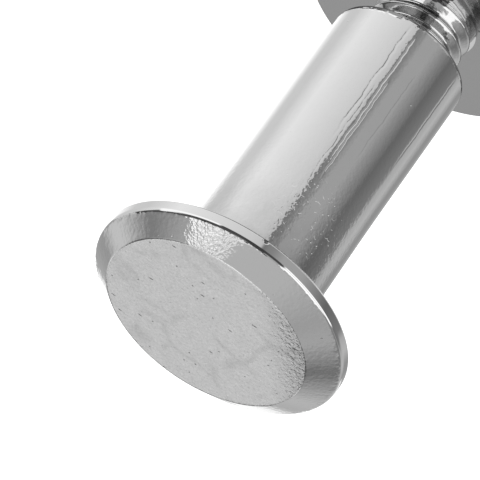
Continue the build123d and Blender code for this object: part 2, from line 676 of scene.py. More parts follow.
@dataclass(frozen=True)
class DrawnBarrelPlate(NickelPlate):
    """Bright nickel over a barrel drawn from wire: a mirror with fine lines along it.

    The draw lines bend the edges of what it mirrors, and the metal is crinkled and nicked near the head,
    where heading swelled it and the barrels knock together in the tumbler. The marks are thickest at one
    knock, from its core out to its edge. Round the mouth stands the burr that the parting tool turned up.
    """

    name: str = "nickel_plate_on_drawn_barrel"
    colour: str = "e0e0e0"
    # the colour of the painted shade towards the head
    tone_and_painted_shade: str = "4c4c4c"
    roughness: float = 0.05
    radius: float = 2.5

    calm_below: float = 8.5
    crinkled_above: float = 12.5
    calm_share: float = 0.3
    crinkles: Peel = Peel(grain=0.14, height=0.0052)
    dents: Pits = Pits(spacing=0.16, share=0.45, radius=0.035, depth=0.007)
    cuts: Pits = Pits(spacing=0.26, share=0.2, radius=0.028, depth=0.005)
    cut_turns_deg: tuple[float, ...] = (35.0, -50.0)
    cut_stretch: float = 0.3
    specks: Pits = Pits(spacing=0.7, share=0.4, radius=0.045, depth=0.008)

    knock_angle_deg: float = -17.0
    knock_height: float = 12.0
    knock_edge: float = 2.2
    knock_core: float = 0.9
    share_off_knock: float = 0.2

    draw_ripple: Peel = Peel(grain=0.25, height=0.0012)
    draw_stretch: float = 0.07
    grooves: tuple[Groove, ...] = (
        Groove(7.0, 3.3, 9.4, 0.045, 0.0070),
        Groove(3.2, 6.0, 11.5, 0.030, 0.0020),
        Groove(-1.0, 3.6, 10.4, 0.034, 0.0060),
        Groove(-3.6, 5.6, 11.2, 0.030, 0.0055),
        Groove(-18.5, 4.8, 9.6, 0.030, 0.0040),
        Groove(-51.5, 3.5, 8.2, 0.035, 0.0045),
    )

    arcs: RollingArcs = RollingArcs()
    burr: Burr = Burr()

    # painted shade towards the head: the size of its mottle, the heights over which it grows, and its least
    # and most share
    shade_mottle_grain: float = 0.625
    painted_shade_start: float = 11.5
    painted_shade_end: float = 14.5
    least_painted_shade: float = 0.06
    most_painted_shade: float = 0.46

    def relief(self, tree: bpy.types.NodeTree, place: Source) -> Source:
        """Builds crinkles, nicks and scratches towards the head, draw ripple, grooves, specks and the burr.

        Args:
            tree: The material's node tree.
            place: The point on the piece, in millimetres.

        Returns:
            The height in millimetres.
        """
        part = add_node(tree, SPLIT_XYZ, (place,)).outputs
        near_head = add_node(
            tree, RANGE, (part[2], self.calm_below, self.crinkled_above, self.calm_share, 1.0), **SMOOTH
        )
        crinkles = self.crinkles.build(tree, place)
        knocks = [self.dents.build(tree, place)]
        for turn in self.cut_turns_deg:
            slant = add_node(
                tree,
                MAPPING,
                {
                    "Vector": place,
                    "Rotation": (0.0, math.radians(turn), 0.0),
                    "Scale": (self.cut_stretch, 1.0, 1.0),
                },
            )
            knocks.append(self.cuts.build(tree, slant))
        knocks.append(self.arcs.build(tree, place))
        turn = math.radians(self.knock_angle_deg)
        knock = (self.radius * math.sin(turn), -self.radius * math.cos(turn), self.knock_height)
        away = add_node(tree, VECTOR, (place, knock), operation="DISTANCE").outputs["Value"]
        worn = add_node(
            tree, RANGE, (away, self.knock_edge, self.knock_core, self.share_off_knock, 1.0), **SMOOTH
        )
        knocked = add_node(tree, MATH, (stacked(tree, knocks), worn), operation="MULTIPLY")
        rough = stacked(tree, (crinkles, knocked))
        rough = add_node(tree, MATH, (rough, near_head), operation="MULTIPLY")

        # draw ripple: humps a quarter of a millimetre wide and several millimetres long
        drawn_out = add_node(tree, MAPPING, {"Vector": place, "Scale": (1.0, 1.0, self.draw_stretch)})
        angle = angle_round_z(tree, part)
        layers = [rough, self.draw_ripple.build(tree, drawn_out)]
        layers += [groove.build(tree, angle, part[2], self.radius) for groove in self.grooves]
        layers += [self.specks.build(tree, place), self.burr.build(tree, place, part)]
        return stacked(tree, layers)

    def shade(self, tree: bpy.types.NodeTree, place: Source) -> Source:
        """Paints shade on the plate towards the head, mottled by noise and faint lower down.

        Args:
            tree: The material's node tree.
            place: The point on the piece, in millimetres.

        Returns:
            How far the colour goes over to that of the painted shade.
        """
        rise = add_node(tree, SPLIT_XYZ, (place,)).outputs[2]
        mottle = add_node(
            tree, NOISE, {"Vector": place, "Scale": 1 / self.shade_mottle_grain, "Detail": 5.0, "Roughness": 0.65}
        )
        towards_head = add_node(
            tree, RANGE, (rise, self.painted_shade_start, self.painted_shade_end, self.least_painted_shade, self.most_painted_shade)
        )
        return add_node(tree, MATH, (towards_head, mottle), operation="MULTIPLY")


@dataclass(frozen=True)
class HeadBevelPlate(NickelPlate):
    """Bright nickel over a bevel coined in the heading die: smooth, with a crinkled patch on one side.

    The patch is where the metal last flowed to fill the die; it breaks the light up into sparkles. Along
    the rim the bevel's edge is a little ragged, as the die left it.
    """

    name: str = "nickel_plate_on_coined_bevel"
    roughness: float = 0.07
    peel: Peel = Peel(grain=0.15, height=0.0034)
    specks: Pits = Pits(spacing=0.3, share=0.4, radius=0.045, depth=0.007)
    crinkles: Peel = Peel(grain=0.09, height=0.0105)
    patch_angle_deg: float = 22.0
    patch_half_width_deg: float = 10.0
    patch_outer: float = 1.5
    patch_inner: float = 0.3
    ragged: Peel = Peel(grain=0.3, height=0.018)
    rim_edge: float = 15.68
    ragged_width: float = 0.16

    def relief(self, tree: bpy.types.NodeTree, place: Source) -> Source:
        """Builds faint peel and specks all round, deep crinkles in the patch, and the ragged edge.

        Args:
            tree: The material's node tree.
            place: The point on the piece, in millimetres.

        Returns:
            The height in millimetres.
        """
        part = add_node(tree, SPLIT_XYZ, (place,)).outputs
        off = distance_to(tree, angle_round_z(tree, part), math.radians(self.patch_angle_deg))
        half = math.radians(self.patch_half_width_deg)
        outer, inner = self.patch_outer * half, self.patch_inner * half
        in_patch = add_node(tree, RANGE, (off, outer, inner), **SMOOTH)
        crinkles = self.crinkles.build(tree, place)
        crinkles = add_node(tree, MATH, (crinkles, in_patch), operation="MULTIPLY")
        inner = self.rim_edge + self.ragged_width
        by_rim = add_node(tree, RANGE, (part[2], inner, self.rim_edge), **SMOOTH)
        ragged = self.ragged.build(tree, place)
        ragged = add_node(tree, MATH, (ragged, by_rim), operation="MULTIPLY")
        smooth = self.peel.build(tree, place)
        return stacked(tree, (crinkles, smooth, self.specks.build(tree, place), ragged))


@dataclass(frozen=True)
class RimPlate(NickelPlate):
    """Bright nickel over a head's rim: smooth, with one nick where the tumbler knocked its lower edge.

    The nick is rough inside, and painted shade darkens its hollow, so it shows as a dark notch.
    """

    name: str = "nickel_plate_on_knocked_rim"
    nick: tuple[float, float, float] = (0.08, -4.74, 15.27)
    nick_radius: float = 0.15
    nick_core: float = 0.3
    nick_depth: float = 0.03
    torn: Peel = Peel(grain=0.08, height=0.018)
    # painted shade in the nick
    nick_painted_shade: float = 0.85

    def relief(self, tree: bpy.types.NodeTree, place: Source) -> Source:
        """Builds the peel and the nick.

        Args:
            tree: The material's node tree.
            place: The point on the piece, in millimetres.

        Returns:
            The height in millimetres.
        """
        torn = self.torn.build(tree, place)
        torn = add_node(tree, MATH, (torn, self.nick_depth), operation="SUBTRACT")
        nick = add_node(tree, MATH, (torn, self.in_nick(tree, place)), operation="MULTIPLY")
        return stacked(tree, (self.peel.build(tree, place), nick))

    def in_nick(self, tree: bpy.types.NodeTree, place: Source) -> Source:
        """Builds the mask of the nick, from 0 round it to 1 in its middle."""
        off = add_node(tree, VECTOR, (place, self.nick), operation="DISTANCE").outputs["Value"]
        return add_node(tree, RANGE, (off, self.nick_radius, self.nick_core * self.nick_radius), **SMOOTH)

    def shade(self, tree: bpy.types.NodeTree, place: Source) -> Source:
        """Builds the painted shade in the nick: how far the colour goes over to the darker one there."""
        return add_node(tree, MATH, (self.in_nick(tree, place), self.nick_painted_shade), operation="MULTIPLY")


@dataclass(frozen=True)
class TumbledFlatPlate(NickelPlate):
    """Nickel over a flat that was stamped and tumbled: satin, because the tumbling stones pitted it finely.

    It shows sparse pits and short cuts darkened with painted shade, faint veins from handling, and a rippled
    crescent along one side, where the punch met the metal unevenly, with painted shade along that side.
    """

    name: str = "nickel_plate_on_tumbled_flat"
    colour: str = "ececec"
    # the darker colour: of the veins, speckles and mottle, and of the painted shade
    tone_and_painted_shade: str = "3a3a3a"
    roughness: float = 0.27

    tumbling: Peel = Peel(grain=0.09, height=0.0095)
    tumbling_stretch: float = 0.6
    cuts: Pits = Pits(spacing=0.42, share=0.12, radius=0.04, depth=0.012, level=True)
    cut_angle_deg: float = 30.0
    cut_stretch: float = 0.35
    dents: Pits = Pits(spacing=0.4, share=0.1, radius=0.04, depth=0.012, level=True)
    # painted shade in the pits and cuts
    pit_painted_shade: float = 0.5

    ripples: Peel = Peel(grain=0.13, height=0.027)
    crescent_angle_deg: float = -62.0
    crescent_start: float = 1.9
    crescent_end: float = 3.6
    # painted shade along the crescent's side
    crescent_painted_shade: float = 0.2

    veins_per_mm: float = 0.42
    vein_half_width: float = 0.075
    vein_shade: float = 0.1
    vein_wander: float = 0.6
    vein_wander_grain: float = 1.25
    worn_per_mm: float = 0.7
    vein_breaks: tuple[float, float] = (0.46, 0.62)
    clouds_per_mm: float = 2.4
    speckles_per_mm: float = 12.0
    cloud_shade: float = 0.22
    cloud_stretch: float = 0.55
    speckle_shade: float = 0.2

    def relief(self, tree: bpy.types.NodeTree, place: Source) -> Source:
        """Builds tumbling grain, pits, cuts and the rippled crescent.

        Args:
            tree: The material's node tree.
            place: The point on the piece, in millimetres.

        Returns:
            The height in millimetres.
        """
        rolled = add_node(tree, MAPPING, {"Vector": place, "Scale": (1.0, self.tumbling_stretch, 1.0)})
        grain = self.tumbling.build(tree, rolled)
        ripples = self.ripples.build(tree, place)
        ripples = add_node(tree, MATH, (ripples, self.crescent(tree, place)), operation="MULTIPLY")
        return stacked(tree, (grain, ripples, self.marks(tree, place)))

    def marks(self, tree: bpy.types.NodeTree, place: Source) -> Source:
        """Builds the pits and the short cuts, which all run much the same way.

        Args:
            tree: The material's node tree.
            place: The point on the piece, in millimetres.

        Returns:
            The height in millimetres, never above zero.
        """
        turn = (0.0, 0.0, math.radians(self.cut_angle_deg))
        cut_way = add_node(
            tree, MAPPING, {"Vector": place, "Rotation": turn, "Scale": (self.cut_stretch, 1.0, 1.0)}
        )
        cuts = self.cuts.build(tree, cut_way)
        return add_node(tree, MATH, (cuts, self.dents.build(tree, place)), operation="MINIMUM")

    def crescent(self, tree: bpy.types.NodeTree, place: Source) -> Source:
        """Builds the mask of the rippled crescent, from 0 to 1 towards the flat's edge on its side.

        Args:
            tree: The material's node tree.
            place: The point on the piece, in millimetres.

        Returns:
            The share of the ripples.
        """
        turn = math.radians(self.crescent_angle_deg)
        way = (math.sin(turn), -math.cos(turn), 0.0)
        towards = add_node(tree, VECTOR, (place, way), operation="DOT_PRODUCT").outputs["Value"]
        return add_node(tree, RANGE, (towards, self.crescent_start, self.crescent_end), **SMOOTH)

    def shade(self, tree: bpy.types.NodeTree, place: Source) -> Source:
        """Darkens the flat a little: painted shade on the crescent's side and in the pits, and tone in the
        veins, speckles and mottle.

        Args:
            tree: The material's node tree.
            place: The point on the piece, in millimetres.

        Returns:
            How far the colour goes over to the darker one.
        """
        rolled = add_node(tree, MAPPING, {"Vector": place, "Scale": (1.0, self.cloud_stretch, 1.0)})
        mottle = add_node(
            tree, NOISE, {"Vector": rolled, "Scale": self.clouds_per_mm, "Detail": 6.0, "Roughness": 0.8}
        )
        speckle = add_node(tree, NOISE, {"Vector": place, "Scale": self.speckles_per_mm, "Detail": 1.0})
        shades = [self.veins(tree, place)]
        for pattern, most in (
            # painted shade along the crescent's side
            (self.crescent(tree, place), self.crescent_painted_shade),
            (speckle, self.speckle_shade),
            (mottle, self.cloud_shade),
            # painted shade in the pits and cuts
            (self.marks(tree, place), -self.pit_painted_shade / self.dents.depth),
        ):
            shades.append(add_node(tree, MATH, (pattern, most), operation="MULTIPLY"))
        return stacked(tree, shades)

    def veins(self, tree: bpy.types.NodeTree, place: Source) -> Source:
        """Builds the faint veins, which wander and are worn away in places.

        Args:
            tree: The material's node tree.
            place: The point on the piece, in millimetres.

        Returns:
            Their shade.
        """
        wander = add_node(
            tree, NOISE, {"Vector": place, "Scale": 1 / self.vein_wander_grain, "Detail": 3.0}
        )
        bent = add_node(
            tree, VECTOR, {0: wander.outputs["Color"], "Scale": self.vein_wander}, operation="SCALE"
        )
        bent = add_node(tree, VECTOR, (bent, place), operation="ADD")
        gap = add_node(
            tree, VORONOI, {"Vector": bent, "Scale": self.veins_per_mm}, feature="DISTANCE_TO_EDGE"
        ).outputs["Distance"]
        vein = add_node(tree, RANGE, (gap, 0.0, self.vein_half_width, self.vein_shade, 0.0), **SMOOTH)
        worn = add_node(tree, NOISE, {"Vector": place, "Scale": self.worn_per_mm, "Detail": 2.0})
        worn = add_node(tree, RANGE, (worn, *self.vein_breaks))
        return add_node(tree, MATH, (vein, worn), operation="MULTIPLY")


@dataclass(frozen=True)
class ThreadPlate(NickelPlate):
    """Nickel over a rolled thread: bright, a little duller and more uneven than on the drawn barrel."""

    name: str = "nickel_plate_on_rolled_thread"
    colour: str = "dadada"
    roughness: float = 0.08
    peel: Peel = Peel(grain=0.2, height=0.0035)


@dataclass(frozen=True)
class SeatPlateWithPaintedShade(NickelPlate):
    """Nickel over the die-faced underside of a head: softer, and greyed with painted shade where it faces the
    other half.
    """

    name: str = "nickel_plate_on_head_seat_painted_shade"
    # painted shade: the seat is greyed where it lies between the two halves
    colour: str = "a0a0a0"
    roughness: float = 0.15
    peel: Peel = Peel(grain=0.4, height=0.008)


@dataclass(frozen=True)
class BorePlate(NickelPlate):
    """Bare steel under a flash of nickel, in drilled and punched holes: dull grey, rough from the tool."""

    name: str = "flash_nickel_in_holes"
    colour: str = "a6a6a6"
    roughness: float = 0.32
    peel: Peel = Peel(grain=0.12, height=0.0015)


# ---------------------------------------------------------------- the two halves of the fastener


# A face is level where its normal's Z is more than LEVEL, and upright where it is less than UPRIGHT. The
# others are in millimetres: how far past an edge a face's middle lies to count as beyond it, how near a
# hole's or a shank's wall to count as part of it, and how exactly a point lies on a ring.
LEVEL = 0.95
UPRIGHT = 0.5
EDGE_MARGIN = 0.02
WALL_MARGIN = 0.1
RING_MARGIN = 0.001

# Edges sharper than this stay crisp in the shading.
CREASE_DEG = 62.0


@dataclass(frozen=True)
class Head:
    """The flat, bevelled head that both halves have. Lengths are in millimetres."""

    flat_radius: float = 3.8
    radius: float = 4.75
    bevel_height: float = 0.62
    height: float = 1.1
    flat_rounding: float = 0.22
    bevel_rounding: float = 0.2
    rim_rounding: float = 0.1

    def corners(self, top: float, up: float) -> list[Corner]:
        """Gives the head's corners from the middle of its flat to its underside's edge.

        Args:
            top: The height of the flat.
            up: 1 where the flat faces up, -1 where it faces down.

        Returns:
            The corners in order from the axis outwards.
        """
        return [
            Corner(0, top),
            Corner(self.flat_radius, top, self.flat_rounding),
            Corner(self.radius, top - up * self.bevel_height, self.bevel_rounding),
            Corner(self.radius, top - up * self.height, self.rim_rounding),
        ]


@dataclass
class BarrelPost:
    """The blind barrel with its head: turned, bevelled, drilled and tapped in one piece."""

    finishes: dict[Region, bpy.types.Material]
    head: Head = Head()
    radius: float = 2.5
    mouth: float = 3.2
    length: float = 12.0
    swell: float = 0.05
    swell_start: float = 5.7
    swell_end: float = 1.9
    swell_rounding: float = 150.0
    root_rounding: float = 0.1
    lip_rounding: float = 0.16
    bore_radius: float = 1.8
    bore_depth: float = 10.2
    countersink: float = 0.15
    edge_break: float = 0.03
    drill_point: float = 1.08
    thread_depth: float = 0.2
    thread_length: float = 9.0
    mouth_fade: float = 0.2
    thread_fade: float = 0.6
    segments: int = 192
    rows_per_pitch: int = 8
    off_centre: tuple[float, float] = (0.13, 0.06)
    bulge: float = 0.14
    bulge_angle_deg: float = -55.0
    bulge_half_width_deg: float = 50.0

    @property
    def underside(self) -> float:
        """The height of the underside of the head."""
        return self.mouth + self.length

    @property
    def top(self) -> float:
        """The height of the flat of the head."""
        return self.underside + self.head.height

    def shift_flat(self, point: Vector) -> Vector:
        """Moves the flat off the axis and swells its outline on one side, as its bevel was coined unevenly.

        Args:
            point: A point of the turned barrel, in millimetres.

        Returns:
            The point, moved fully at the flat and not at all below the bevel.
        """
        share = min(max((point.z - self.top) / self.head.bevel_height + 1, 0.0), 1.0)
        away = math.atan2(point.y, point.x) - math.radians(self.bulge_angle_deg)
        away = abs((away + math.pi) % math.tau - math.pi) / math.radians(self.bulge_half_width_deg)
        out = self.bulge * math.cos(min(away, 1.0) * math.pi / 2) ** 2 / self.head.flat_radius
        moved = Vector((self.off_centre[0] + point.x * out, self.off_centre[1] + point.y * out, 0))
        return point + moved * share

    def build(self) -> bpy.types.Object:
        """Turns the barrel, taps it and dresses it.

        Returns:
            The finished piece.
        """
        thread_top = self.mouth + self.thread_length
        outside = turned_profile(
            [
                *self.head.corners(self.top, 1),
                Corner(self.radius + self.swell, self.underside, self.root_rounding),
                Corner(self.radius + self.swell, self.underside - self.swell_end, self.swell_rounding),
                Corner(self.radius, self.underside - self.swell_start, self.swell_rounding),
                Corner(self.radius, self.mouth, self.lip_rounding),
                Corner(self.bore_radius + self.countersink, self.mouth, self.edge_break),
                Corner(self.bore_radius, self.mouth + self.countersink),
            ]
        )
        inside = turned_profile(
            [
                Corner(self.bore_radius, thread_top),
                Corner(self.bore_radius, self.mouth + self.bore_depth),
                Corner(0, self.mouth + self.bore_depth + self.drill_point),
            ]
        )
        blank = new_object(
            "barrel_post", turned_mesh("barrel_post", [outside, inside], self.segments, self.shift_flat)
        )
        thread = Thread(
            plain_radius=self.bore_radius,
            ridge_radius=self.bore_radius + self.thread_depth,
            start=self.mouth + self.countersink,
            end=thread_top,
            start_fade=self.mouth_fade,
            end_fade=self.thread_fade,
            side=Side.INSIDE,
            columns=self.segments,
            rows_per_pitch=self.rows_per_pitch,
        )
        blank.data = thread.wind(blank, self.finishes[Region.SIDE])
        dress_regions(blank, self.finishes, self.region_at)
        return blank

    def region_at(self, middle: Vector, facing: Vector) -> Region:
        """Says which finish a face has.

        Args:
            middle: The middle of the face, in millimetres.
            facing: The face's normal.

        Returns:
            The region that the face belongs to.
        """
        out = math.hypot(middle.x, middle.y)
        if middle.z > self.top - 0.5 * self.head.flat_rounding and facing.z > LEVEL:
            return Region.FLAT
        if middle.z > self.top - self.head.bevel_height + EDGE_MARGIN:
            return Region.BEVEL
        if out < self.bore_radius + WALL_MARGIN and middle.z < self.underside:
            return Region.BORE
        if facing.z < -LEVEL and out > self.radius + self.root_rounding:
            return Region.SEAT
        return Region.RIM if out > self.head.flat_radius else Region.SIDE


@dataclass(frozen=True)
class CrossRecess:
    """The punched cross recess in the screw's head. Lengths are in millimetres."""

    span: float = 3.2
    depth: float = 1.4
    wing_width: float = 0.72
    wing_slope_deg: float = 26.5
    core_radius: float = 0.95
    core_slope_deg: float = 20.0
    corner_rounding: float = 0.06
    corner_segments: int = 3
    beyond: float = 0.15
    point: float = 0.12
    core_segments: int = 64

    def wing(self, turned: bool) -> bpy.types.Object:
        """Makes the cutter for one pair of opposite wings.

        Args:
            turned: Whether the wings lie along Y instead of X.

        Returns:
            A closed cutter, from a little outside the head's face to the bottom of the recess.
        """
        slope = math.tan(math.radians(self.wing_slope_deg))
        built = bmesh.new()
        ends = []
        for z in (-self.beyond, self.depth):
            reach = self.span / 2 - z * slope
            half = self.wing_width / 2
            outline = ((-reach, -half), (reach, -half), (reach, half), (-reach, half))
            points = [(y, x, z) if turned else (x, y, z) for x, y in outline]
            ends.append([built.verts.new(Vector(point) * MM) for point in points])
            built.faces.new(ends[-1])
        for i in range(4):
            j = (i + 1) % 4
            built.faces.new((ends[0][i], ends[0][j], ends[1][j], ends[1][i]))
        bmesh.ops.recalc_face_normals(built, faces=built.faces)
        mesh = bpy.data.meshes.new("wing_cutter")
        built.to_mesh(mesh)
        built.free()
        cutter = new_object("wing_cutter", mesh)
        rounding = cutter.modifiers.new("rounding", "BEVEL")
        rounding.width = self.corner_rounding * MM
        rounding.segments = self.corner_segments
        rounding.limit_method = "NONE"
        make_plain(cutter)
        return cutter

    def core(self) -> bpy.types.Object:
        """Makes the cutter for the cone between the wings.

        Returns:
            A closed cutter with a shallow point at its bottom.
        """
        slope = math.tan(math.radians(self.core_slope_deg))
        tip = self.core_radius - self.depth * slope
        outline = [
            (0, self.depth + self.point),
            (tip, self.depth),
            (self.core_radius + self.beyond * slope, -self.beyond),
            (0, -self.beyond),
        ]
        return new_object("core_cutter", turned_mesh("core_cutter", [outline], self.core_segments))

    def punch(self, blank: bpy.types.Object) -> None:
        """Cuts the recess into a blank.

        Args:
            blank: A closed blank whose head's face is at z = 0.
        """
        cutters = [self.wing(False), self.wing(True), self.core()]
        for cutter in cutters:
            cut = blank.modifiers.new(cutter.name, "BOOLEAN")
            cut.operation = "DIFFERENCE"
            cut.solver = "EXACT"
            cut.object = cutter
        make_plain(blank)
        for cutter in cutters:
            bpy.data.objects.remove(cutter)


@dataclass
class BindingScrew:
    """The screw that closes the barrel: a cold-headed blank with a rolled thread and a punched recess."""

    finishes: dict[Region, bpy.types.Material]
    head: Head = Head()
    recess: CrossRecess = CrossRecess()
    root_radius: float = 1.49
    crest_radius: float = 1.75
    shank_length: float = 9.0
    flare_radius: float = 1.81
    flare_height: float = 0.06
    tip_chamfer: float = 0.15
    edge_break: float = 0.03
    bare_tip: float = 0.25
    seat_fade: float = 0.15
    tip_fade: float = 0.6
    segments: int = 160

    def build(self) -> bpy.types.Object:
        """Heads the blank, punches its recess, rolls its thread and dresses it.

        Returns:
            The finished piece.
        """
        tip = self.head.height + self.shank_length
        thread_start = self.head.height + self.flare_height
        thread_end = tip - self.bare_tip
        outline = turned_profile(
            [
                Corner(0, tip),
                Corner(self.root_radius - self.tip_chamfer, tip, self.edge_break),
                Corner(self.root_radius, tip - self.tip_chamfer, self.edge_break),
                Corner(self.root_radius, thread_end),
                Corner(self.root_radius, thread_start),
                Corner(self.flare_radius, self.head.height),
                *self.head.corners(0, -1)[::-1],
            ]
        )
        blank = new_object("binding_screw", turned_mesh("binding_screw", [outline], self.segments))
        self.recess.punch(blank)
        self.open_shank(blank.data, thread_start, thread_end)
        thread = Thread(
            plain_radius=self.root_radius,
            ridge_radius=self.crest_radius,
            start=thread_start,
            end=thread_end,
            start_fade=self.seat_fade,
            end_fade=self.tip_fade,
            side=Side.OUTSIDE,
            columns=self.segments,
        )
        blank.data = thread.wind(blank, self.finishes[Region.SIDE])
        dress_regions(blank, self.finishes, self.region_at)
        return blank

    def open_shank(self, mesh: bpy.types.Mesh, start: float, end: float) -> None:
        """Takes out the plain shank between two heights, where the thread goes.

        Args:
            mesh: The blank's mesh, in metres.
            start: The lower height, in millimetres.
            end: The upper height, in millimetres.
        """
        built = bmesh.new()
        built.from_mesh(mesh)
        shank = [
            face
            for face in built.faces
            if all(start - RING_MARGIN < vert.co.z / MM < end + RING_MARGIN for vert in face.verts)
            and abs(face.normal.z) < UPRIGHT
            and face.calc_center_median().xy.length / MM > self.root_radius - WALL_MARGIN / 2
        ]
        bmesh.ops.delete(built, geom=shank, context="FACES")
        built.to_mesh(mesh)
        built.free()

    def region_at(self, middle: Vector, facing: Vector) -> Region:
        """Says which finish a face has.

        Args:
            middle: The middle of the face, in millimetres.
            facing: The face's normal.

        Returns:
            The region that the face belongs to.
        """
        out = math.hypot(middle.x, middle.y)
        if middle.z < 0.5 * self.head.flat_rounding and facing.z < -LEVEL:
            return Region.FLAT
        if out < self.reach_of_recess(middle.z) and middle.z < self.recess.depth + self.recess.beyond:
            return Region.BORE
        if middle.z < self.head.bevel_height - EDGE_MARGIN:
            return Region.BEVEL
        if middle.z > self.head.height + EDGE_MARGIN / 2 and out < self.flare_radius:
            return Region.THREAD
        if facing.z > LEVEL and out > self.flare_radius:
            return Region.SEAT
        return Region.RIM

    def reach_of_recess(self, height: float) -> float:
        """The distance from the axis within which a face at this height is the recess's own."""
        in_head = height < self.head.height
        return self.recess.span / 2 + WALL_MARGIN if in_head else self.root_radius - WALL_MARGIN


def dress_regions(
    piece: bpy.types.Object,
    finishes: dict[Region, bpy.types.Material],
    region_at: Callable[[Vector, Vector], Region],
) -> None:
    """Gives each face its finish and smooth shading, with crisp edges where the metal has them.

    Args:
        piece: The finished mesh object.
        finishes: The material for each region.
        region_at: Says which region a face is in, from its middle in millimetres and its normal.
    """
    mesh = piece.data
    mesh.materials.clear()
    for region in Region:
        mesh.materials.append(finishes[region])
    for face in mesh.polygons:
        face.material_index = region_at(face.center / MM, face.normal).value
    mesh.shade_smooth()
    mesh.set_sharp_from_angle(angle=math.radians(CREASE_DEG))


# ---------------------------------------------------------------- studio


@dataclass(frozen=True)
class Card:
    """Where one grey card of a row ends and the next begins: an angle in degrees, and a brightness.

    Between two of them the brightness changes evenly. White is 1.
    """

    angle_deg: float
    brightness: float


@dataclass(frozen=True)
class Panel:
    """A soft-edged panel in front of the cards.

    It is placed by its bearing from the camera's side towards +X and by its elevation, and its size is half
    its width and half its height. All but its brightness are in degrees.
    """

    bearing_deg: float
    rise_deg: float
    half_width_deg: float
    half_height_deg: float
    edge_deg: float
    brightness: float


# The studio is a tent of white sheets and dark curtains round the table. The first row of cards is low
# down, by bearing from the camera's side, positive towards +X. The other two go up the +X side and the
# -X side, by elevation.
LOW_CARDS = (
    Card(-180, 0.55),  # grey corner at the back, left
    Card(-166, 0.46),
    Card(-150, 0.35),
    Card(-138, 0.35),
    Card(-122, 0.60),  # white sheet behind, left
    Card(-108, 0.52),
    Card(-99, 0.25),  # dark curtain, left
    Card(-72, 0.17),
    Card(-38, 0.45),  # the room in front, left
    Card(-18, 0.45),
    Card(-8, 0.30),  # the camera and its stand
    Card(-3, 0.28),
    Card(1, 0.20),
    Card(3, 0.70),  # white sheet, right, from the front to the back
    Card(16, 0.80),
    Card(80, 1.05),
    Card(112, 0.77),  # fold in it
    Card(130, 0.77),
    Card(155, 1.25),
)
EAST_CARDS = (
    Card(-20, 1.70),  # the white sheet's foot
    Card(-11, 0.48),
    Card(6, 0.38),
    Card(15, 0.70),  # pale shelf
    Card(20, 0.70),
    Card(36, 0.25),  # dark curtain
    Card(50, 0.42),  # grey ceiling
    Card(64, 0.52),
    Card(67, 1.00),  # lamp panel overhead
    Card(74, 1.00),
    Card(76, 0.57),
)
WEST_CARDS = (
    Card(-28, 0.45),
    Card(-25, 1.15),  # light strip along the table's edge
    Card(-13, 1.15),
    Card(-6, 0.50),  # pale wall
    Card(6, 0.60),
    Card(29, 0.20),  # dark curtain
    Card(46, 0.48),  # grey ceiling
    Card(56, 0.43),
    Card(75, 0.57),
)
PANELS = (
    Panel(180, 45, 22, 25, 4, 1.3),  # bright frame of the back wall
    Panel(180, 33, 18, 14, 8, 0.78),  # back wall
    Panel(180, 8, 12, 7, 4, 0.08),  # gap under the back wall
    Panel(142, 47, 7, 15, 3, 0.1),  # dark curtain right of the bright frame
    Panel(-148, 47, 5, 15, 3, 0.1),  # dark curtain left of it
    Panel(75, 22, 38, 9, 4, 0.08),  # doorway, right
    Panel(101, 18, 12, 11, 3, 0.08),  # the doorway's taller leaf
    Panel(62, -3, 25, 11, 3, 1.3),  # strip light under it
    Panel(-50, 4, 29, 9, 5, 1.4),  # softbox in front, left
    Panel(-48, 38, 24, 16, 4, 1.4),  # lamp above it
    Panel(56, 55, 24, 7, 3, 1.3),  # lamp above the doorway
    Panel(8, 15, 27, 20, 4, 0.08),  # the camera's stand
    Panel(6, 28, 7, 32, 4, 0.06),  # the camera
    Panel(20, -72, 120, 10, 4, 0.2),  # painted shade: the object's shadow on the table under it, as the metal reflects it
)


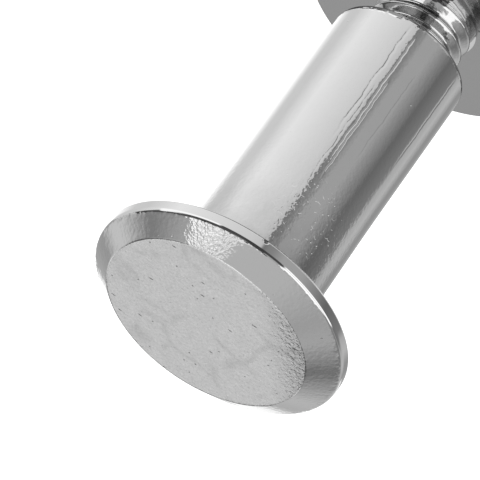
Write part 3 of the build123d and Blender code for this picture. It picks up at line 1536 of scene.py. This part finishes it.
@dataclass(frozen=True)
class Studio:
    """A white sweep under soft overhead light, with grey cards round the table for the metal to reflect.

    The table and the lamp are in metres, apart from the table's drop, which is in millimetres. The tall cards
    up the sides end at the front foot's elevation, and behind the table, past the foot's bearings, they come
    down to the back foot's. Between the table's two elevations all cards give way to the table.
    """

    table_size: float = 1.2
    table_drop: float = 0.02
    table_lift: float = 0.35
    lamp_place: tuple[float, float, float] = (-0.08, -0.1, 0.5)
    lamp_size: float = 0.35
    lamp_power: float = 1.0
    low_cards: tuple[Card, ...] = LOW_CARDS
    east_cards: tuple[Card, ...] = EAST_CARDS
    west_cards: tuple[Card, ...] = WEST_CARDS
    panels: tuple[Panel, ...] = PANELS
    side_blend: float = 0.03
    front_foot_deg: float = 10.0
    back_foot_deg: float = -31.0
    foot_bearings_deg: tuple[float, float] = (125.0, 145.0)
    foot_edge_deg: float = 5.0
    table_rises_deg: tuple[float, float] = (-38.0, -50.0)
    white: float = 1.0

    def build_floor(self) -> bpy.types.Object:
        """Lays the pale table, a hair under the object, and lets it glow a little to the camera alone.

        Returns:
            The table.
        """
        half = self.table_size / 2
        square = ((-1, -1), (1, -1), (1, 1), (-1, 1))
        corners = [(x * half, y * half, -self.table_drop * MM) for x, y in square]
        mesh = bpy.data.meshes.new("table")
        mesh.from_pydata(corners, [], [(0, 1, 2, 3)])
        table = new_object("table", mesh)
        made = bpy.data.materials.new("white_laminate")
        made.use_nodes = True
        tree = made.node_tree
        tree.nodes.clear()
        laminate = add_node(tree, "ShaderNodeBsdfDiffuse", {"Color": linear("f0f0f0")})
        to_camera = add_node(tree, "ShaderNodeLightPath").outputs["Is Camera Ray"]
        lift = add_node(tree, MATH, (to_camera, self.table_lift), operation="MULTIPLY")
        glow = add_node(tree, "ShaderNodeEmission", {"Color": linear("ffffff"), "Strength": lift})
        both = add_node(tree, "ShaderNodeAddShader", (laminate, glow))
        add_node(tree, "ShaderNodeOutputMaterial", (both,))
        mesh.materials.append(made)
        table.visible_glossy = False
        return table

    def hang_lamp(self) -> None:
        """Hangs one large soft lamp overhead, which gives the object its shadow on the table."""
        data = bpy.data.lights.new("overhead_softbox", "AREA")
        data.shape = "DISK"
        data.size = self.lamp_size
        data.energy = self.lamp_power
        lamp = new_object("overhead_softbox", data)
        lamp.location = self.lamp_place
        lamp.rotation_euler = (-lamp.location).to_track_quat("-Z", "Y").to_euler()
        lamp.visible_glossy = False

    def build_world(self) -> None:
        """Surrounds the table with white, and with the cards and panels that only reflections show."""
        world = bpy.data.worlds.new("white_sweep")
        bpy.context.scene.world = world
        world.use_nodes = True
        tree = world.node_tree
        tree.nodes.clear()
        direction = add_node(tree, "ShaderNodeTexCoord").outputs["Generated"]
        part = add_node(tree, SPLIT_XYZ, (direction,)).outputs
        bearing = add_node(
            tree, MATH, (angle_round_z(tree, part), 1 / math.tau, 0.5), operation="MULTIPLY_ADD"
        )
        rise = add_node(tree, MATH, (part[2],), operation="ARCSINE")
        rise_share = add_node(tree, MATH, (rise, 1 / math.pi, 0.5), operation="MULTIPLY_ADD")

        low = self.row_of_cards(tree, bearing, self.low_cards, 360.0)
        east = self.row_of_cards(tree, rise_share, self.east_cards, 180.0)
        west = self.row_of_cards(tree, rise_share, self.west_cards, 180.0)
        side = add_node(tree, RANGE, (part[0], -self.side_blend, self.side_blend), **SMOOTH)
        high = add_node(tree, MIX, {0: side, 2: west, 3: east})

        # behind the table the tall cards reach down to the floor
        from_front = distance_to(tree, bearing, 0.5)
        near, far = (angle / 360 for angle in self.foot_bearings_deg)
        front, back = math.radians(self.front_foot_deg), math.radians(self.back_foot_deg)
        foot = add_node(tree, RANGE, (from_front, near, far, front, back))
        over = add_node(tree, MATH, (rise, foot), operation="SUBTRACT")
        above = add_node(tree, RANGE, (over, 0.0, math.radians(self.foot_edge_deg)), **SMOOTH)
        seen = add_node(tree, MIX, {0: above, 2: low, 3: high})

        # straight down there is only the white table
        down = add_node(tree, RANGE, (rise, *map(math.radians, self.table_rises_deg)), **SMOOTH)
        seen = add_node(tree, MIX, {0: down, 2: seen, 3: self.white})
        for panel in self.panels:
            seen = self.hang_panel(tree, bearing, rise, seen, panel)
        to_gloss = add_node(tree, "ShaderNodeLightPath").outputs["Is Glossy Ray"]
        shown = add_node(tree, MIX, {0: to_gloss, 2: self.white, 3: seen})
        sky = add_node(tree, "ShaderNodeBackground", {"Color": linear("ffffff"), "Strength": shown})
        add_node(tree, "ShaderNodeOutputWorld", (sky,))

    def hang_panel(
        self, tree: bpy.types.NodeTree, bearing: Source, rise: Source, behind: Source, panel: Panel
    ) -> Source:
        """Hangs one soft-edged panel in front of what is there.

        Args:
            tree: The world's node tree.
            bearing: The bearing as a share of the circle, half being the camera's side.
            rise: The elevation in radians.
            behind: The brightness without the panel.
            panel: The panel.

        Returns:
            The brightness with the panel.
        """
        away = add_node(tree, MATH, (bearing, panel.bearing_deg / 360 + 0.5), operation="SUBTRACT")
        away = add_node(tree, MATH, (away, 0.5, -0.5), operation="WRAP")
        away = add_node(tree, MATH, (away,), operation="ABSOLUTE")
        outer = (panel.half_width_deg + panel.edge_deg) / 360
        aside = add_node(tree, RANGE, (away, outer, panel.half_width_deg / 360), **SMOOTH)
        apart = distance_to(tree, rise, math.radians(panel.rise_deg))
        outer = math.radians(panel.half_height_deg + panel.edge_deg)
        level = add_node(tree, RANGE, (apart, outer, math.radians(panel.half_height_deg)), **SMOOTH)
        there = add_node(tree, MATH, (aside, level), operation="MULTIPLY")
        return add_node(tree, MIX, {0: there, 2: behind, 3: panel.brightness})

    def row_of_cards(
        self, tree: bpy.types.NodeTree, share: Source, cards: Sequence[Card], whole_deg: float
    ) -> Source:
        """Turns a row of cards into brightness over an angle.

        Args:
            tree: The world's node tree.
            share: The angle as a share of the whole, half being straight ahead.
            cards: The cards in order, by their angles from straight ahead.
            whole_deg: The whole angle in degrees.

        Returns:
            The brightness in that direction.
        """
        row = add_node(tree, "ShaderNodeValToRGB", (share,))
        stops = row.color_ramp.elements
        places = [card.angle_deg / whole_deg + 0.5 for card in cards]
        stops[0].position = places[0]
        stops[-1].position = places[-1]
        for place in places[1:-1]:
            stops.new(place)
        for stop, card in zip(stops, cards):
            stop.color = (card.brightness, card.brightness, card.brightness, 1.0)
        return add_node(tree, "ShaderNodeSeparateColor", (row,))


@dataclass(frozen=True)
class CameraStand:
    """Where the camera stands: a long lens looking down on the barrel's head, turned far over.

    The distance, the lens, the sensor and the point it aims at are in millimetres.
    """

    elevation_deg: float = 32.37
    roll_deg: float = 144.49
    distance: float = 462.0
    lens: float = 1039.4
    sensor: float = 36.0
    aim: tuple[float, float, float] = (0.811, -1.575, 13.837)

    def build(self) -> bpy.types.Object:
        """Makes the camera and makes it the scene's own.

        Returns:
            The camera object.
        """
        rise = math.radians(self.elevation_deg)
        roll = math.radians(self.roll_deg)
        ahead = Vector((0, math.cos(rise), -math.sin(rise)))
        level = Vector((1, 0, 0))
        upright = level.cross(ahead)
        right = math.cos(roll) * level - math.sin(roll) * upright
        up = math.sin(roll) * level + math.cos(roll) * upright
        data = bpy.data.cameras.new("camera")
        data.lens = self.lens
        data.sensor_width = self.sensor
        stand = new_object("camera", data)
        place = Matrix((right, up, -ahead)).transposed().to_4x4()
        place.translation = (Vector(self.aim) - ahead * self.distance) * MM
        stand.matrix_world = place
        bpy.context.scene.camera = stand
        return stand


# ---------------------------------------------------------------- put together


def main() -> None:
    """Builds the fastener and the studio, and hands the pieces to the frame."""
    logging.basicConfig(level=logging.INFO, format="%(name)s: %(message)s")
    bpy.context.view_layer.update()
    bpy.context.scene.view_settings.view_transform = "Standard"

    plates = {
        Region.SIDE: DrawnBarrelPlate(),
        Region.FLAT: TumbledFlatPlate(),
        Region.BEVEL: HeadBevelPlate(),
        Region.THREAD: ThreadPlate(),
        Region.SEAT: SeatPlateWithPaintedShade(),
        Region.BORE: BorePlate(),
        Region.RIM: RimPlate(),
    }
    finishes = {region: plate.build() for region, plate in plates.items()}
    for kit, node, body in (
        (BarrelPost(finishes), "barrel", "barrel_body"),
        (BindingScrew(finishes), "screw", "screw_body"),
    ):
        piece = kit.build()
        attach(piece, body)
        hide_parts(node)
        log.info("%s: %d faces on %s", piece.name, len(piece.data.polygons), body)

    studio = Studio()
    studio.build_floor()
    studio.hang_lamp()
    studio.build_world()
    CameraStand().build()


if __name__ == "__main__":
    main()
